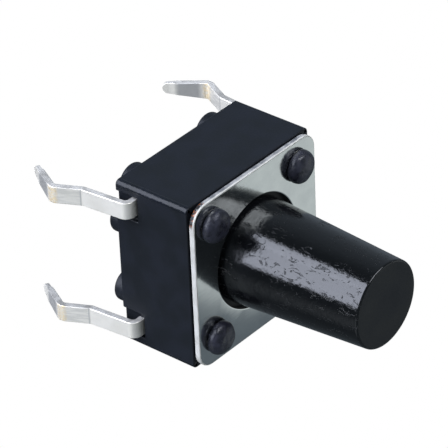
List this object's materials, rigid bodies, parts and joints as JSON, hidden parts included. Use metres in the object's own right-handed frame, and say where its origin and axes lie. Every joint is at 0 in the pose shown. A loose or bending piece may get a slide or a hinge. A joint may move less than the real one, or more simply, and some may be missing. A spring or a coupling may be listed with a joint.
{
  "type": "tactile push button switch",
  "caption": "Small square through-hole tactile switch with a tall round plunger, a staked steel cover and sprung kinked legs.",
  "frame": {"origin": "middle of the board seat, the plane on which the housing's feet stand on a circuit board", "axes": "+Z along the plunger, away from the board; X across the sides where the legs leave; Y along those sides"},
  "size_m": [0.0078, 0.006, 0.0115],
  "materials": {
    "housing_plastic": "satin black moulded, fine texture",
    "plunger_plastic": "glossy black moulded, faintly rippled, matt end",
    "cover_steel": "brushed along X",
    "terminal_tin": "bright tin plating",
    "dome_steel": "bright spring steel"
  },
  "bodies": {
    "base": {"housing": "housing_plastic", "terminal_centre": "terminal_tin", "terminal_rim": "terminal_tin", "snap_dome": "dome_steel", "cover_plate": "cover_steel"},
    "button": {"plunger": "plunger_plastic"}
  },
  "joints": [
    {"name": "plunger_press", "type": "slide", "parent": "base", "child": "button", "axis": [0, 0, -1], "range_m": [0, 0.00025], "stiffness_N_per_m": 6400, "deforming": ["snap_dome"]}
  ]
}
